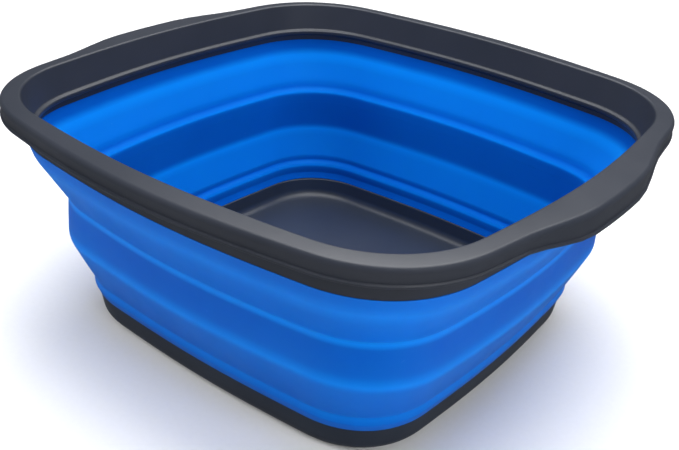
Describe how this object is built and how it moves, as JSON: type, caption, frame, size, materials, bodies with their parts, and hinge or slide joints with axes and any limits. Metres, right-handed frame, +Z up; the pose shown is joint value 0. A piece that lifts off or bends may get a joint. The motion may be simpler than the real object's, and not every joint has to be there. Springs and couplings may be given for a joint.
{
  "type": "collapsible wash tub",
  "caption": "Rounded rectangular tub with a stiff rim with two finger lugs, a soft bellows wall that folds flat, and a stiff base tray.",
  "frame": {"origin": "on the floor under the centre of the tub", "axes": "+Z up, +X along the length towards one finger lug, +Y across the width"},
  "size_m": [0.377, 0.358, 0.155],
  "materials": {
    "rim_plastic": "satin moulded polypropylene, dark grey",
    "tray_plastic": "satin moulded polypropylene, dark navy grey",
    "wall_rubber": "satin soft rubber, blue",
    "fold_rubber": "satin soft rubber, blue, slightly translucent",
    "web_rubber": "thin satin soft rubber, lighter blue"
  },
  "bodies": {
    "base": {"base_tray": "tray_plastic", "lower_wall": "wall_rubber", "lower_crease_web": "web_rubber", "lower_fold": "fold_rubber"},
    "middle_tier": {"middle_hinge_web": "web_rubber", "middle_wall": "wall_rubber", "upper_crease_web": "web_rubber", "upper_fold": "fold_rubber"},
    "rim": {"rim_hinge_web": "web_rubber", "upper_wall": "wall_rubber", "rim_frame": "rim_plastic"}
  },
  "joints": [
    {"name": "lower_collapse", "type": "slide", "parent": "base", "child": "middle_tier", "axis": [0, 0, -1], "range_m": [0, 0.05], "deforming": ["lower_fold"]},
    {"name": "upper_collapse", "type": "slide", "parent": "middle_tier", "child": "rim", "axis": [0, 0, -1], "range_m": [0, 0.054], "deforming": ["upper_fold"]}
  ]
}
